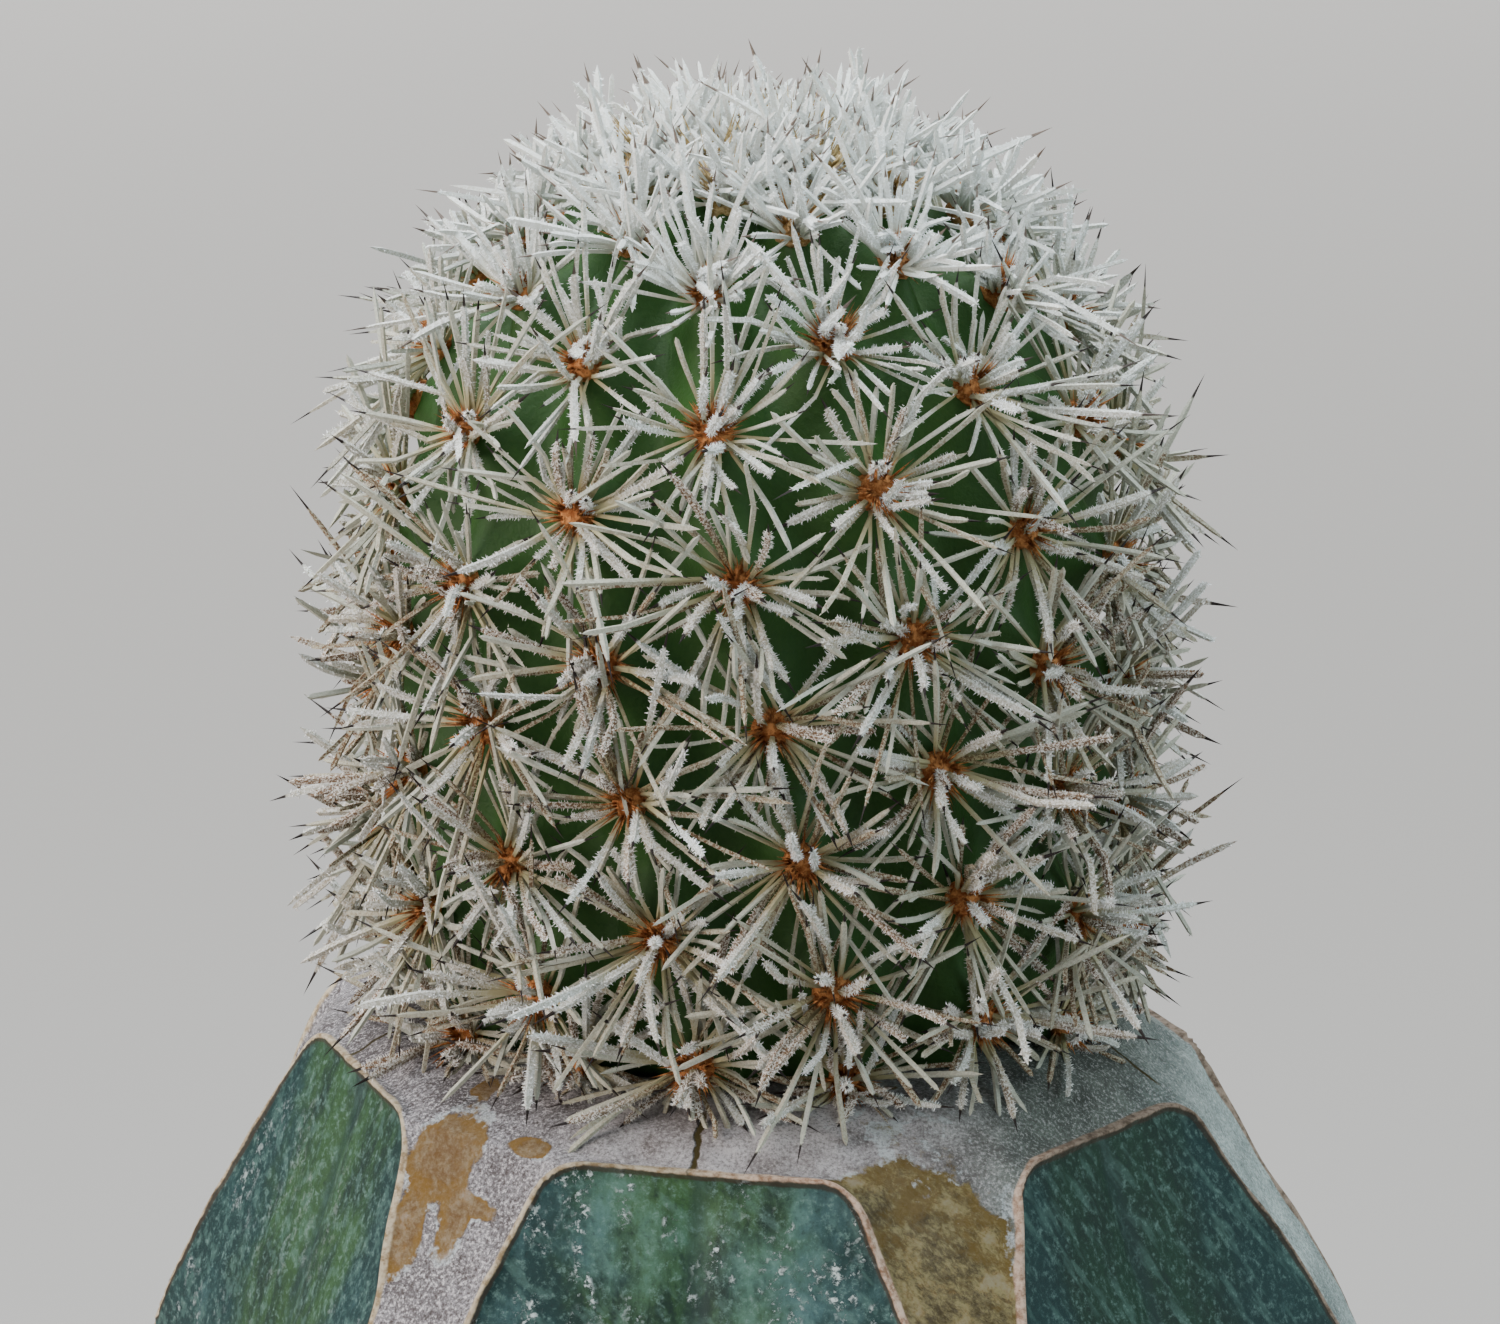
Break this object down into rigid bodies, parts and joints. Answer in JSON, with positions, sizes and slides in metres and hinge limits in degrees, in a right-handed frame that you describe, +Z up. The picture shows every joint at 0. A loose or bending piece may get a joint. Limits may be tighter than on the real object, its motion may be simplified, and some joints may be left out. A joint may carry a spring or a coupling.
{
  "type": "potted grafted column cactus",
  "caption": "Short column cactus dense with starry spines, grafted on a stout ribbed rootstock with trimmed rib ends, in a plain clay pot of soil.",
  "frame": {"origin": "centre of the pot's base, on the surface it stands on", "axes": "+Z up along the plant, -Y towards the viewer's side of the picture"},
  "size_m": [0.12, 0.12, 0.208],
  "materials": {
    "terracotta": "matte",
    "potting_soil": "matte",
    "stock_skin": "satin",
    "scion_skin": "matte"
  },
  "bodies": {
    "root": {"pot": "terracotta", "soil": "potting_soil", "rootstock": "stock_skin", "scion": "scion_skin"}
  },
  "joints": []
}
